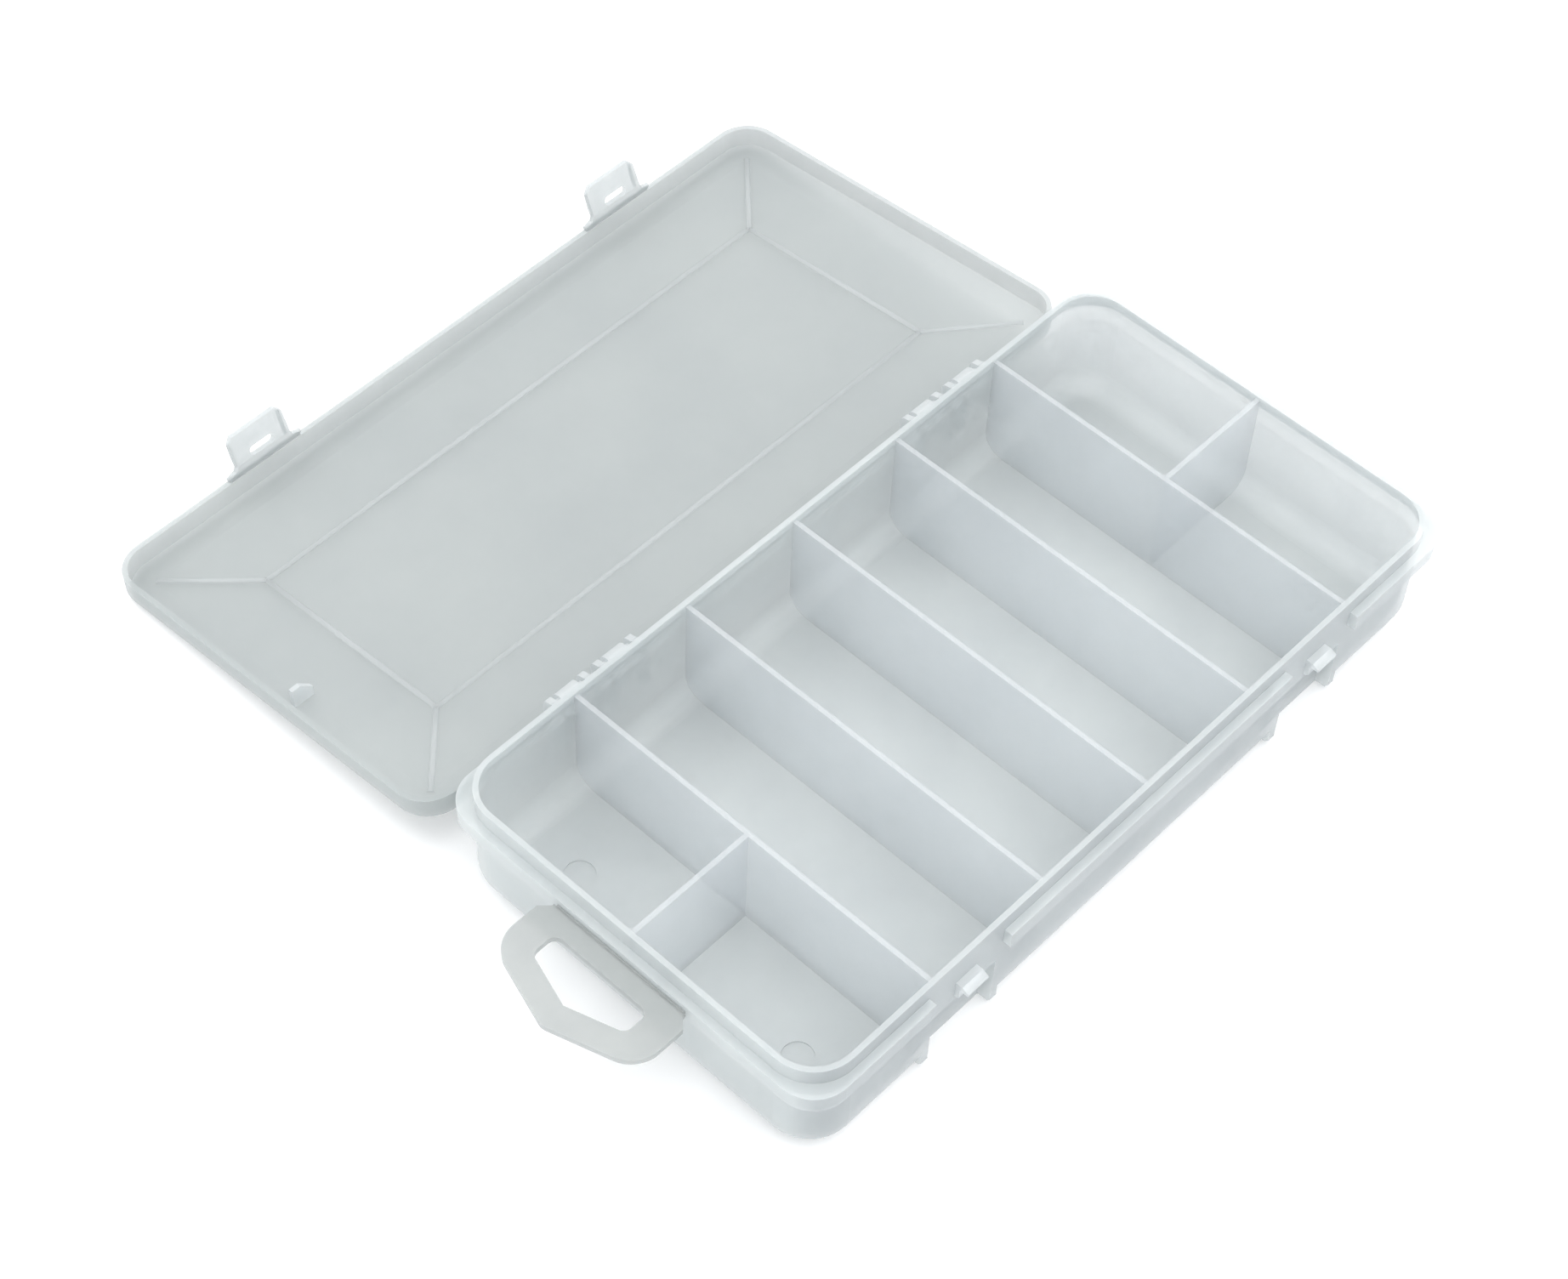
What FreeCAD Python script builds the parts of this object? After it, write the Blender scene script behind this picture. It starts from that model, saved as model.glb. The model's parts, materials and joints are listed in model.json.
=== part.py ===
"""Eight-compartment fishing tackle box, lying open.

A frosted polypropylene tray with moulded-in dividers, a bevelled lid that snaps onto the
tray's hinge bars, two latch flaps on living hinges and a tear-off hang tab.
Millimetres. X runs along the box, away from the hang tab. The latches are on the -Y side and
the hinge is on the +Y side. Z is up from the surface that the tray stands on, and the origin
is on that surface under the tray's middle.
The lid and its flaps are drawn closed, then turned about the hinge axis until the lid's far
edge lies on the surface.
"""
import FreeCAD
import Part
import math
import os

import Sketcher

DRIVING_SIZES = {
    # whole tray
    "tray_length": 210.0,        # over the rim flange
    "tray_width": 108.0,         # over the rim flange
    "rim_height": 31.8,          # top of the raised lip
    "flange_top": 27.4,
    "flange_depth": 4.4,
    "flange_reach": 2.0,         # flange outside the wall
    "flange_corner": 9.0,
    "wall": 1.3,
    "wall_corner": 11.0,
    "floor_edge_radius": 7.0,
    # round wells in the floor
    "well_depth": 0.4,
    "well_radius": 3.6,
    "well_inset_x": 19.3,        # well centre from the flange's end
    "well_inset_y": 21.8,        # well centre from the flange's side
    # dividers
    "divider_pitch": 33.9,
    "divider_thickness": 1.2,
    "divider_drop": 0.7,         # divider top below the lip
    # latch places
    "latch_spacing": 115.8,      # between the two latches' middles
    "recess_width": 19.6,
    "notch_width": 23.0,         # gap in the flange that the flap's root swings through
    "recess_depth": 3.4,
    "recess_top": 17.6,
    "leg_width": 2.0,            # legs square off the tray's round edge beside a recess
    "leg_foot": 1.2,
    "nub_width": 6.4,
    "nub_height": 1.5,
    "nub_middle": 23.1,
    "nub_reach": 3.4,
    "nub_backing": 1.2,          # how far the block under a nub stands out
    # hinge
    "hinge_spacing": 114.6,      # between the two hinge pairs' middles
    "bracket_spacing": 14.3,     # between the two brackets of a pair
    "bracket_width": 11.6,
    "cheek_thickness": 1.7,
    "cheek_radius": 2.0,
    "cheek_bottom": 12.6,
    "hinge_out": 2.6,            # axis outside the flange
    "hinge_down": 5.2,           # axis below the flange's top
    "bar_radius": 1.1,
    "bar_clearance": 0.08,
    "claw_width": 5.6,
    "claw_radius": 2.2,
    # lid
    "seat_gap": 0.25,            # lid's edge above the flange
    "lid_depth": 6.6,
    "lid_wall": 1.3,
    "lid_edge_radius": 2.2,
    "bevel_inset": 7.5,
    "panel_inset": 25.2,
    "panel_rise": 1.5,
    "fin_length": 5.6,
    "fin_thickness": 1.2,
    "fin_offset": 6.0,           # from the short side's middle, towards the hinge
    "fin_clearance": 0.4,
    # latch flaps
    "flap_width": 16.0,
    "flap_root_width": 22.0,
    "flap_root_height": 2.4,
    "flap_thickness": 1.2,
    "flap_length": 9.4,
    "flap_bend": 2.4,            # from the axis down to where the flap flares outwards
    "flap_flare": 2.3,
    "flap_rib": 1.0,             # ribs along the flap's edges, on its outer face
    "tip_corner": 1.4,           # corner cut off the pull tip
    "slot_clearance": 0.35,
    "film_gap": 0.3,
    # hang tab
    "tab_width": 42.0,
    "tab_length": 22.4,          # from the flange to the outer point
    "tab_point": 6.6,            # how far the outer edge runs to a point
    "tab_thickness": 1.6,
    "tab_level": 25.0,
    "tab_corner": 8.0,
    "tab_root_corner": 2.2,
    "tab_strap": 5.4,            # solid strap beside the flange
    "tab_opening_width": 26.8,
    "tab_opening_corner": 2.2,
    "tab_band": 6.3,
}

doc = FreeCAD.newDocument("tackle_box")
sheet = doc.addObject("Spreadsheet::Sheet", "Sizes")
for row, (alias, number) in enumerate(DRIVING_SIZES.items(), start=1):
    sheet.set("A%d" % row, alias)
    sheet.set("B%d" % row, str(number))
    sheet.setAlias("B%d" % row, alias)
doc.recompute()


def size(alias):
    return float(sheet.get(alias))


def cells(text):
    """An expression in cell names, such as 'wall + 2*leg_width', pointed at the sheet."""
    for alias in sorted(DRIVING_SIZES, key=len, reverse=True):
        text = text.replace(alias, "<" + str(list(DRIVING_SIZES).index(alias)) + ">")
    for place, alias in enumerate(DRIVING_SIZES):
        text = text.replace("<%d>" % place, "Sizes.%s" % alias)
    return text


def value(text):
    """The number that an expression gives now."""
    probe = text
    for alias in sorted(DRIVING_SIZES, key=len, reverse=True):
        probe = probe.replace(alias, "(%r)" % size(alias))
    return float(FreeCAD.Units.Quantity(probe).Value)


# ---------------------------------------------------------------- modelling helpers

def new_body(label):
    body = doc.addObject("PartDesign::Body", label)
    body.Label = label
    return body


def origin_plane(body, role):
    return next(item for item in body.Origin.OriginFeatures if item.Role == role)


def sketch_on(body, name, role, offset):
    sketch = body.newObject("Sketcher::SketchObject", name)
    sketch.AttachmentSupport = (origin_plane(body, role), [""])
    sketch.MapMode = "FlatFace"
    sketch.setExpression("AttachmentOffset.Base.z", cells(offset))
    return sketch


def pin_point(sketch, geometry, end, place):
    """Hold one end or centre of a sketch line at a place given by two expressions."""
    for kind, text in zip(("DistanceX", "DistanceY"), place):
        index = sketch.addConstraint(Sketcher.Constraint(kind, -1, 1, geometry, end, value(text)))
        sketch.setExpression("Constraints[%d]" % index, cells(text))


def outline(body, name, role, offset, corners):
    """A closed outline of straight lines through corners, each a pair of expressions."""
    sketch = sketch_on(body, name, role, offset)
    places = [FreeCAD.Vector(value(across), value(up), 0) for across, up in corners]
    count = len(places)
    for index in range(count):
        sketch.addGeometry(Part.LineSegment(places[index], places[(index + 1) % count]), False)
    for index in range(count):
        sketch.addConstraint(Sketcher.Constraint("Coincident", index, 2, (index + 1) % count, 1))
        pin_point(sketch, index, 1, corners[index])
    return sketch


def rectangle(body, name, role, offset, half_across, half_up, middle=("0", "0")):
    left = "%s - (%s)" % (middle[0], half_across)
    right = "%s + (%s)" % (middle[0], half_across)
    low = "%s - (%s)" % (middle[1], half_up)
    high = "%s + (%s)" % (middle[1], half_up)
    return outline(body, name, role, offset,
                   [(left, low), (right, low), (right, high), (left, high)])


def rounded(body, name, offset, *loops):
    """A level sketch of rounded rectangles about the middle, each (half x, half y, radius)."""
    sketch = sketch_on(body, name, "XY_Plane", offset)
    for half_x, half_y, radius in loops:
        add_rounded_loop(sketch, half_x, half_y, radius)
    return sketch


def add_rounded_loop(sketch, half_x, half_y, radius):
    first = sketch.GeometryCount
    short_x = "(%s - (%s))" % (half_x, radius)
    short_y = "(%s - (%s))" % (half_y, radius)
    full_x = "(%s)" % half_x
    full_y = "(%s)" % half_y
    sides = [
        (("-" + short_x, "-" + full_y), (short_x, "-" + full_y)),
        ((full_x, "-" + short_y), (full_x, short_y)),
        ((short_x, full_y), ("-" + short_x, full_y)),
        (("-" + full_x, short_y), ("-" + full_x, "-" + short_y)),
    ]
    for start, end in sides:
        points = [FreeCAD.Vector(value(across), value(up), 0) for across, up in (start, end)]
        sketch.addGeometry(Part.LineSegment(*points), False)
    for place, (x_sign, y_sign) in enumerate([(1, -1), (1, 1), (-1, 1), (-1, -1)]):
        centre = FreeCAD.Vector(x_sign * value(short_x), y_sign * value(short_y), 0)
        circle = Part.Circle(centre, FreeCAD.Vector(0, 0, 1), value(radius))
        turn = (place - 1) * math.pi / 2
        sketch.addGeometry(Part.ArcOfCircle(circle, turn, turn + math.pi / 2), False)
    for place, (start, end) in enumerate(sides):
        arc = first + 4 + place
        sketch.addConstraint(Sketcher.Constraint("Coincident", first + place, 2, arc, 1))
        following = first + (place + 1) % 4
        sketch.addConstraint(Sketcher.Constraint("Coincident", following, 1, arc, 2))
        pin_point(sketch, first + place, 1, start)
        pin_point(sketch, first + place, 2, end)
        index = sketch.addConstraint(Sketcher.Constraint("Radius", arc, value(radius)))
        sketch.setExpression("Constraints[%d]" % index, cells(radius))


def disc(body, name, role, offset, middle, radius):
    sketch = sketch_on(body, name, role, offset)
    centre = FreeCAD.Vector(value(middle[0]), value(middle[1]), 0)
    sketch.addGeometry(Part.Circle(centre, FreeCAD.Vector(0, 0, 1), value(radius)), False)
    pin_point(sketch, 0, 3, middle)
    index = sketch.addConstraint(Sketcher.Constraint("Radius", 0, value(radius)))
    sketch.setExpression("Constraints[%d]" % index, cells(radius))
    return sketch


def extrude(body, kind, name, sketch, length, reverse=False, middle=False):
    """Pad or Pocket a sketch by a length, checking that the solid really changed."""
    before = body.Shape.Volume if body.Tip else 0.0
    feature = body.newObject("PartDesign::" + kind, name)
    feature.Profile = sketch
    feature.setExpression("Length", cells(length))
    feature.Reversed = reverse
    feature.Midplane = middle
    doc.recompute()
    changed = body.Shape.Volume - before
    if (kind == "Pad") != (changed > 0) or abs(changed) < 1e-6:
        raise RuntimeError("%s of %s changed the volume by %g" % (name, body.Label, changed))
    return feature


def round_edges(body, name, radius, wanted):
    """Fillet the edges of the body's last feature for which wanted(edge) is true."""
    base = body.Tip
    names = ["Edge%d" % (index + 1) for index, edge in enumerate(base.Shape.Edges) if wanted(edge)]
    if not names:
        raise RuntimeError("%s found no edges on %s" % (name, body.Label))
    fillet = body.newObject("PartDesign::Fillet", name)
    fillet.Base = (base, names)
    fillet.setExpression("Radius", cells(radius))
    doc.recompute()
    if fillet.Shape.isNull():
        raise RuntimeError("%s failed on %s" % (name, body.Label))
    return fillet


def box_of(edge):
    return edge.BoundBox


def upright(edge):
    """True for a straight edge along Z."""
    box = box_of(edge)
    return box.XLength < 1e-6 and box.YLength < 1e-6


def level_at(height):
    """A test for edges that lie in the level plane at a height."""
    def wanted(edge):
        box = box_of(edge)
        return box.ZLength < 1e-6 and abs(box.ZMin - height) < 1e-4
    return wanted


def along_x(edge):
    box = box_of(edge)
    return box.YLength < 1e-6 and box.ZLength < 1e-6


def beyond(limit):
    """A test for upright edges whose distance along X from the middle is over a limit."""
    def wanted(edge):
        return upright(edge) and abs(box_of(edge).XMin) > limit
    return wanted


# ---------------------------------------------------------------- shared places

WALL_HALF_X = "tray_length/2 - flange_reach"
WALL_HALF_Y = "tray_width/2 - flange_reach"
CAVITY_HALF_X = "tray_length/2 - flange_reach - wall"
CAVITY_HALF_Y = "tray_width/2 - flange_reach - wall"
FLOOR_TOP = "wall"
FLANGE_BOTTOM = "flange_top - flange_depth"
DIVIDER_TOP = "rim_height - divider_drop"
RECESS_BACK_Y = "-(tray_width/2 - flange_reach - recess_depth)"
HINGE_Y = "tray_width/2 + hinge_out"
HINGE_Z = "flange_top - hinge_down"
LID_EDGE = "flange_top + seat_gap"
LID_TOP = "flange_top + seat_gap + lid_depth"
FLAP_AXIS_Y = "-(tray_width/2 - flap_thickness/2)"
FLAP_AXIS_Z = "flange_top + seat_gap - film_gap - flap_thickness/2"
TAB_AXIS_X = "-(tray_length/2 + film_gap + tab_thickness/2)"

SIDES = (("left", "-1*"), ("right", "1*"))


def lid_opening_angle():
    """How far the lid turns from closed until the round of its far edge meets the surface."""
    reach = value(HINGE_Y) + size("tray_width") / 2 - size("lid_edge_radius")
    rise = value(LID_TOP) - size("lid_edge_radius") - value(HINGE_Z)
    distance = math.hypot(reach, rise)
    drop = value(HINGE_Z) - size("lid_edge_radius")
    return 180.0 + math.degrees(math.asin(drop / distance) - math.atan2(rise, reach))


OPENING_ANGLE = lid_opening_angle()


def swing_open(body):
    """Turn a body drawn on the closed lid to where it lies when the lid is open."""
    hinge_point = FreeCAD.Vector(0, value(HINGE_Y), value(HINGE_Z))
    turn = FreeCAD.Rotation(FreeCAD.Vector(1, 0, 0), -OPENING_ANGLE)
    body.Placement = FreeCAD.Placement(FreeCAD.Vector(0, 0, 0), turn, hinge_point)


# ---------------------------------------------------------------- tray

def make_tray_shell():
    body = new_body("tray_shell")
    block = rounded(body, "WallOutline", "0", (WALL_HALF_X, WALL_HALF_Y, "wall_corner"))
    extrude(body, "Pad", "WallBlock", block, "rim_height")
    cavity = rounded(body, "CavityOutline", "rim_height",
                     (CAVITY_HALF_X, CAVITY_HALF_Y, "wall_corner - wall"))
    extrude(body, "Pocket", "Cavity", cavity, "rim_height - wall")
    round_edges(body, "CavityFloorEdge", "floor_edge_radius - wall", level_at(value(FLOOR_TOP)))
    round_edges(body, "FloorEdge", "floor_edge_radius", level_at(0.0))

    ring = rounded(body, "FlangeRing", FLANGE_BOTTOM,
                   ("tray_length/2", "tray_width/2", "flange_corner"),
                   ("%s + wall/2" % CAVITY_HALF_X, "%s + wall/2" % CAVITY_HALF_Y,
                    "wall_corner - wall/2"))
    extrude(body, "Pad", "Flange", ring, "flange_depth")
    for side, sign in SIDES:
        add_latch_recess(body, side, sign + "latch_spacing/2")
    add_wells(body)
    return body


def add_latch_recess(body, side, middle):
    """A finger recess in the latch wall, the notch in the flange over it, and its two legs."""
    half = "recess_width/2"
    back = "(%s)" % RECESS_BACK_Y
    bulge = outline(body, "RecessBack_" + side, "XY_Plane", "leg_foot", [
        ("%s - %s - wall" % (middle, half), "-(%s) - wall/2" % CAVITY_HALF_Y),
        ("%s + %s + wall" % (middle, half), "-(%s) - wall/2" % CAVITY_HALF_Y),
        ("%s + %s + wall" % (middle, half), back + " + wall"),
        ("%s - %s - wall" % (middle, half), back + " + wall")])
    extrude(body, "Pad", "RecessBulge_" + side, bulge, "recess_top + wall - leg_foot")

    cut = outline(body, "RecessOutline_" + side, "XY_Plane", "0", [
        ("%s - %s" % (middle, half), "-tray_width/2"),
        ("%s + %s" % (middle, half), "-tray_width/2"),
        ("%s + %s" % (middle, half), back),
        ("%s - %s" % (middle, half), back)])
    extrude(body, "Pocket", "Recess_" + side, cut, "recess_top", reverse=True)

    notch = outline(body, "NotchOutline_" + side, "XY_Plane", FLANGE_BOTTOM + " - 1", [
        ("%s - notch_width/2" % middle, "-tray_width/2 - 1"),
        ("%s + notch_width/2" % middle, "-tray_width/2 - 1"),
        ("%s + notch_width/2" % middle, "-(%s)" % WALL_HALF_Y),
        ("%s - notch_width/2" % middle, "-(%s)" % WALL_HALF_Y)])
    extrude(body, "Pocket", "Notch_" + side, notch, "flange_depth + 2", reverse=True)

    face = "-(%s)" % WALL_HALF_Y
    for end, direction in (("a", "-"), ("b", "+")):
        place = "%s %s (%s + leg_width/2)" % (middle, direction, half)
        leg = outline(body, "LegProfile_%s_%s" % (side, end), "YZ_Plane", place, [
            (face, "floor_edge_radius + 0.6"),
            (face, "leg_foot + 1"),
            (face + " + 0.8", "leg_foot"),
            (face + " + floor_edge_radius*0.62", "leg_foot"),
            (face + " + floor_edge_radius*0.36", "floor_edge_radius*0.36"),
            (face + " + wall/2", "floor_edge_radius*0.86"),
            (face + " + wall/2", "floor_edge_radius + 0.6")])
        extrude(body, "Pad", "Leg_%s_%s" % (side, end), leg, "leg_width", middle=True)


def add_wells(body):
    """Four shallow round wells sunk in the floor, one near each corner."""
    for x_name, x_sign in SIDES:
        for y_name, y_sign in (("front", "-1*"), ("back", "1*")):
            middle = (x_sign + "(tray_length/2 - well_inset_x)",
                      y_sign + "(tray_width/2 - well_inset_y)")
            ring = disc(body, "WellRing_%s_%s" % (x_name, y_name), "XY_Plane", FLOOR_TOP,
                        middle, "well_radius")
            extrude(body, "Pocket", "Well_%s_%s" % (x_name, y_name), ring, "well_depth")


def make_divider(number):
    """One of the five full-width dividers, counted from the hang tab's end."""
    body = new_body("divider_%d" % number)
    place = "%d*divider_pitch" % (number - 3)
    face = outline(body, "DividerOutline", "YZ_Plane", place, [
        ("-(%s)" % CAVITY_HALF_Y, FLOOR_TOP),
        (CAVITY_HALF_Y, FLOOR_TOP),
        (CAVITY_HALF_Y, DIVIDER_TOP),
        ("-(%s)" % CAVITY_HALF_Y, DIVIDER_TOP)])
    extrude(body, "Pad", "DividerPlate", face, "divider_thickness", middle=True)
    floor_level = value(FLOOR_TOP)

    def foot_end(edge):
        return along_x(edge) and abs(box_of(edge).ZMin - floor_level) < 1e-4

    round_edges(body, "DividerFeet", "floor_edge_radius - wall", foot_end)

    x_middle = value(place)
    half = size("divider_thickness") / 2
    for side, sign in SIDES:
        recess_middle = value(sign + "latch_spacing/2")
        reach = size("recess_width") / 2 + size("wall")
        if abs(x_middle - recess_middle) < reach + half:
            notch_for_recess(body, side, sign + "latch_spacing/2")
    return body


def notch_for_recess(body, side, middle):
    """Cut a divider's end where the back of a finger recess stands in its way."""
    notch = outline(body, "RecessNotch_" + side, "XY_Plane", "recess_top + wall", [
        ("%s - recess_width/2 - wall" % middle, "-tray_width/2"),
        ("%s + recess_width/2 + wall" % middle, "-tray_width/2"),
        ("%s + recess_width/2 + wall" % middle, "(%s) + wall" % RECESS_BACK_Y),
        ("%s - recess_width/2 - wall" % middle, "(%s) + wall" % RECESS_BACK_Y)])
    extrude(body, "Pocket", "RecessCut_" + side, notch, "recess_top + wall")


def make_cross_divider(side, sign):
    """The short divider that splits an end row in two."""
    body = new_body("cross_divider_" + side)
    inner = sign + "(2*divider_pitch + divider_thickness/2)"
    outer = sign + "(%s)" % CAVITY_HALF_X
    face = outline(body, "CrossOutline", "XZ_Plane", "0", [
        (inner, FLOOR_TOP), (outer, FLOOR_TOP), (outer, DIVIDER_TOP), (inner, DIVIDER_TOP)])
    extrude(body, "Pad", "CrossPlate", face, "divider_thickness", middle=True)
    end = value(outer)

    def foot_end(edge):
        box = box_of(edge)
        return (box.XLength < 1e-6 and box.ZLength < 1e-6 and abs(box.XMin - end) < 1e-4
                and abs(box.ZMin - value(FLOOR_TOP)) < 1e-4)

    round_edges(body, "CrossFoot", "floor_edge_radius - wall", foot_end)
    return body


def make_catch(side, sign):
    """The nub that the latch flap's slot drops over, sloped above, with a block below it."""
    body = new_body("latch_catch_" + side)
    wall_y = "-(%s)" % WALL_HALF_Y
    low = "nub_middle - nub_height/2"
    high = "nub_middle + nub_height/2"
    profile = outline(body, "NubProfile", "YZ_Plane", sign + "latch_spacing/2", [
        (wall_y, "recess_top + wall"),
        (wall_y, high),
        (wall_y + " - nub_reach*0.5", high),
        (wall_y + " - nub_reach", low + " + nub_height*0.45"),
        (wall_y + " - nub_reach", low),
        (wall_y + " - nub_backing", low),
        (wall_y + " - nub_backing", "recess_top + wall + nub_backing/2"),
        (wall_y + " - nub_backing/2", "recess_top + wall")])
    extrude(body, "Pad", "Nub", profile, "nub_width", middle=True)
    return body


# ---------------------------------------------------------------- hinge

def bracket_middle(number):
    """Place along X of hinge bracket 1 to 4, counted from the hang tab's end."""
    pair = "-1*" if number < 3 else "1*"
    within = "-" if number % 2 else "+"
    return "%shinge_spacing/2 %s bracket_spacing/2" % (pair, within)


def make_bracket(number):
    """Two cheeks standing out from the hinge wall and the round bar between them."""
    body = new_body("hinge_bracket_%d" % number)
    middle = bracket_middle(number)
    flange_face = "tray_width/2"
    wall_face = WALL_HALF_Y
    bar = disc(body, "BarSection", "YZ_Plane", middle, (HINGE_Y, HINGE_Z), "bar_radius")
    extrude(body, "Pad", "Bar", bar, "bracket_width - cheek_thickness", middle=True)
    for end, direction in (("a", "-"), ("b", "+")):
        place = "%s %s (bracket_width - cheek_thickness)/2" % (middle, direction)
        cheek = outline(body, "CheekOutline_" + end, "YZ_Plane", place, [
            (wall_face, "cheek_bottom"),
            (wall_face, FLANGE_BOTTOM),
            (flange_face, FLANGE_BOTTOM),
            (flange_face, "flange_top - 0.6"),
            (HINGE_Y + " - 0.4", "%s + cheek_radius + 0.6" % HINGE_Z),
            (HINGE_Y + " + cheek_radius", "%s + cheek_radius" % HINGE_Z),
            (HINGE_Y + " + cheek_radius", "%s - cheek_radius" % HINGE_Z),
            (wall_face + " + 1.2", "cheek_bottom")])
        extrude(body, "Pad", "Cheek_" + end, cheek, "cheek_thickness", middle=True)
    outer_y = value(HINGE_Y + " + cheek_radius")

    def nose(edge):
        return along_x(edge) and abs(box_of(edge).YMin - outer_y) < 1e-4

    round_edges(body, "CheekNose", "cheek_radius*0.8", nose)
    return body


def make_claw(number):
    """The lid's hook round one bar: it comes over the flange, down outside and under the bar."""
    body = new_body("hinge_claw_%d" % number)
    middle = bracket_middle(number)
    stem_top = "flange_top + seat_gap + 2.2"
    stem_low = "flange_top + seat_gap + 0.8"
    ring = disc(body, "RingSection", "YZ_Plane", middle, (HINGE_Y, HINGE_Z), "claw_radius")
    extrude(body, "Pad", "Ring", ring, "claw_width", middle=True)
    stem = outline(body, "StemOutline", "YZ_Plane", middle, [
        (HINGE_Y + " + claw_radius", HINGE_Z),
        (HINGE_Y + " + claw_radius", stem_top),
        ("tray_width/2", stem_top),
        ("tray_width/2", stem_low),
        (HINGE_Y + " + bar_radius + bar_clearance", stem_low),
        (HINGE_Y + " + bar_radius + bar_clearance", HINGE_Z)])
    extrude(body, "Pad", "Stem", stem, "claw_width", middle=True)
    top = value(stem_top)
    outer_y = value(HINGE_Y + " + claw_radius")

    def shoulder(edge):
        box = box_of(edge)
        return along_x(edge) and abs(box.YMin - outer_y) < 1e-4 and abs(box.ZMin - top) < 1e-4

    round_edges(body, "Shoulder", "claw_radius*0.7", shoulder)
    seat = disc(body, "SeatSection", "YZ_Plane", middle, (HINGE_Y, HINGE_Z),
                "bar_radius + bar_clearance")
    extrude(body, "Pocket", "BarSeat", seat, "claw_width + 2", middle=True)
    mouth = outline(body, "MouthOutline", "YZ_Plane", middle, [
        (HINGE_Y, HINGE_Z),
        (HINGE_Y + " + bar_radius + bar_clearance", HINGE_Z + " + 0.2"),
        (HINGE_Y + " + bar_radius + bar_clearance", "%s + claw_radius + 0.5" % HINGE_Z),
        (HINGE_Y + " - claw_radius - 1", "%s + claw_radius + 0.5" % HINGE_Z),
        (HINGE_Y + " - claw_radius - 1", HINGE_Z + " + claw_radius*0.6")])
    extrude(body, "Pocket", "Mouth", mouth, "claw_width + 2", middle=True)
    swing_open(body)
    return body


# ---------------------------------------------------------------- lid

def loft_between(body, kind, name, low, high):
    before = body.Shape.Volume
    loft = body.newObject("PartDesign::" + kind, name)
    loft.Profile = low
    loft.Sections = [(high, [""])]
    loft.Ruled = True
    doc.recompute()
    if abs(body.Shape.Volume - before) < 1e-6:
        raise RuntimeError("%s of %s changed nothing" % (name, body.Label))
    return loft


def make_lid_shell():
    body = new_body("lid_shell")
    half_x = "tray_length/2"
    half_y = "tray_width/2"
    block = rounded(body, "LidOutline", LID_EDGE, (half_x, half_y, "flange_corner"))
    extrude(body, "Pad", "LidBlock", block, "lid_depth")
    round_edges(body, "LidTopEdge", "lid_edge_radius", level_at(value(LID_TOP)))

    foot = rectangle(body, "BevelFoot", "XY_Plane", LID_TOP,
                     half_x + " - bevel_inset", half_y + " - bevel_inset")
    crown = rectangle(body, "BevelCrown", "XY_Plane", LID_TOP + " + panel_rise",
                      half_x + " - panel_inset", half_y + " - panel_inset")
    loft_between(body, "AdditiveLoft", "RaisedPanel", foot, crown)

    skirt = rounded(body, "SkirtInside", LID_EDGE,
                    (half_x + " - lid_wall", half_y + " - lid_wall", "flange_corner - lid_wall"))
    extrude(body, "Pocket", "SkirtHollow", skirt, "lid_depth - lid_wall", reverse=True)

    low = rectangle(body, "BevelInside", "XY_Plane", LID_TOP + " - lid_wall",
                    half_x + " - bevel_inset", half_y + " - bevel_inset")
    high = rectangle(body, "PanelInside", "XY_Plane", LID_TOP + " - lid_wall + panel_rise",
                     half_x + " - panel_inset", half_y + " - panel_inset")
    loft_between(body, "SubtractiveLoft", "PanelHollow", low, high)
    swing_open(body)
    return body


def make_locating_fin():
    """The fin inside the lid that slips down beside the tray's end wall."""
    body = new_body("locating_fin")
    start = "-(%s) + fin_clearance" % CAVITY_HALF_X
    under = LID_TOP + " - lid_wall"
    fin = outline(body, "FinOutline", "XZ_Plane", "-fin_offset", [
        (start, under),
        (start, LID_EDGE),
        (start + " + fin_length*0.45", LID_EDGE),
        (start + " + fin_length", LID_EDGE + " + fin_length*0.5"),
        (start + " + fin_length", under)])
    extrude(body, "Pad", "Fin", fin, "fin_thickness", middle=True)
    swing_open(body)
    return body


# ---------------------------------------------------------------- latch flaps

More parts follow.
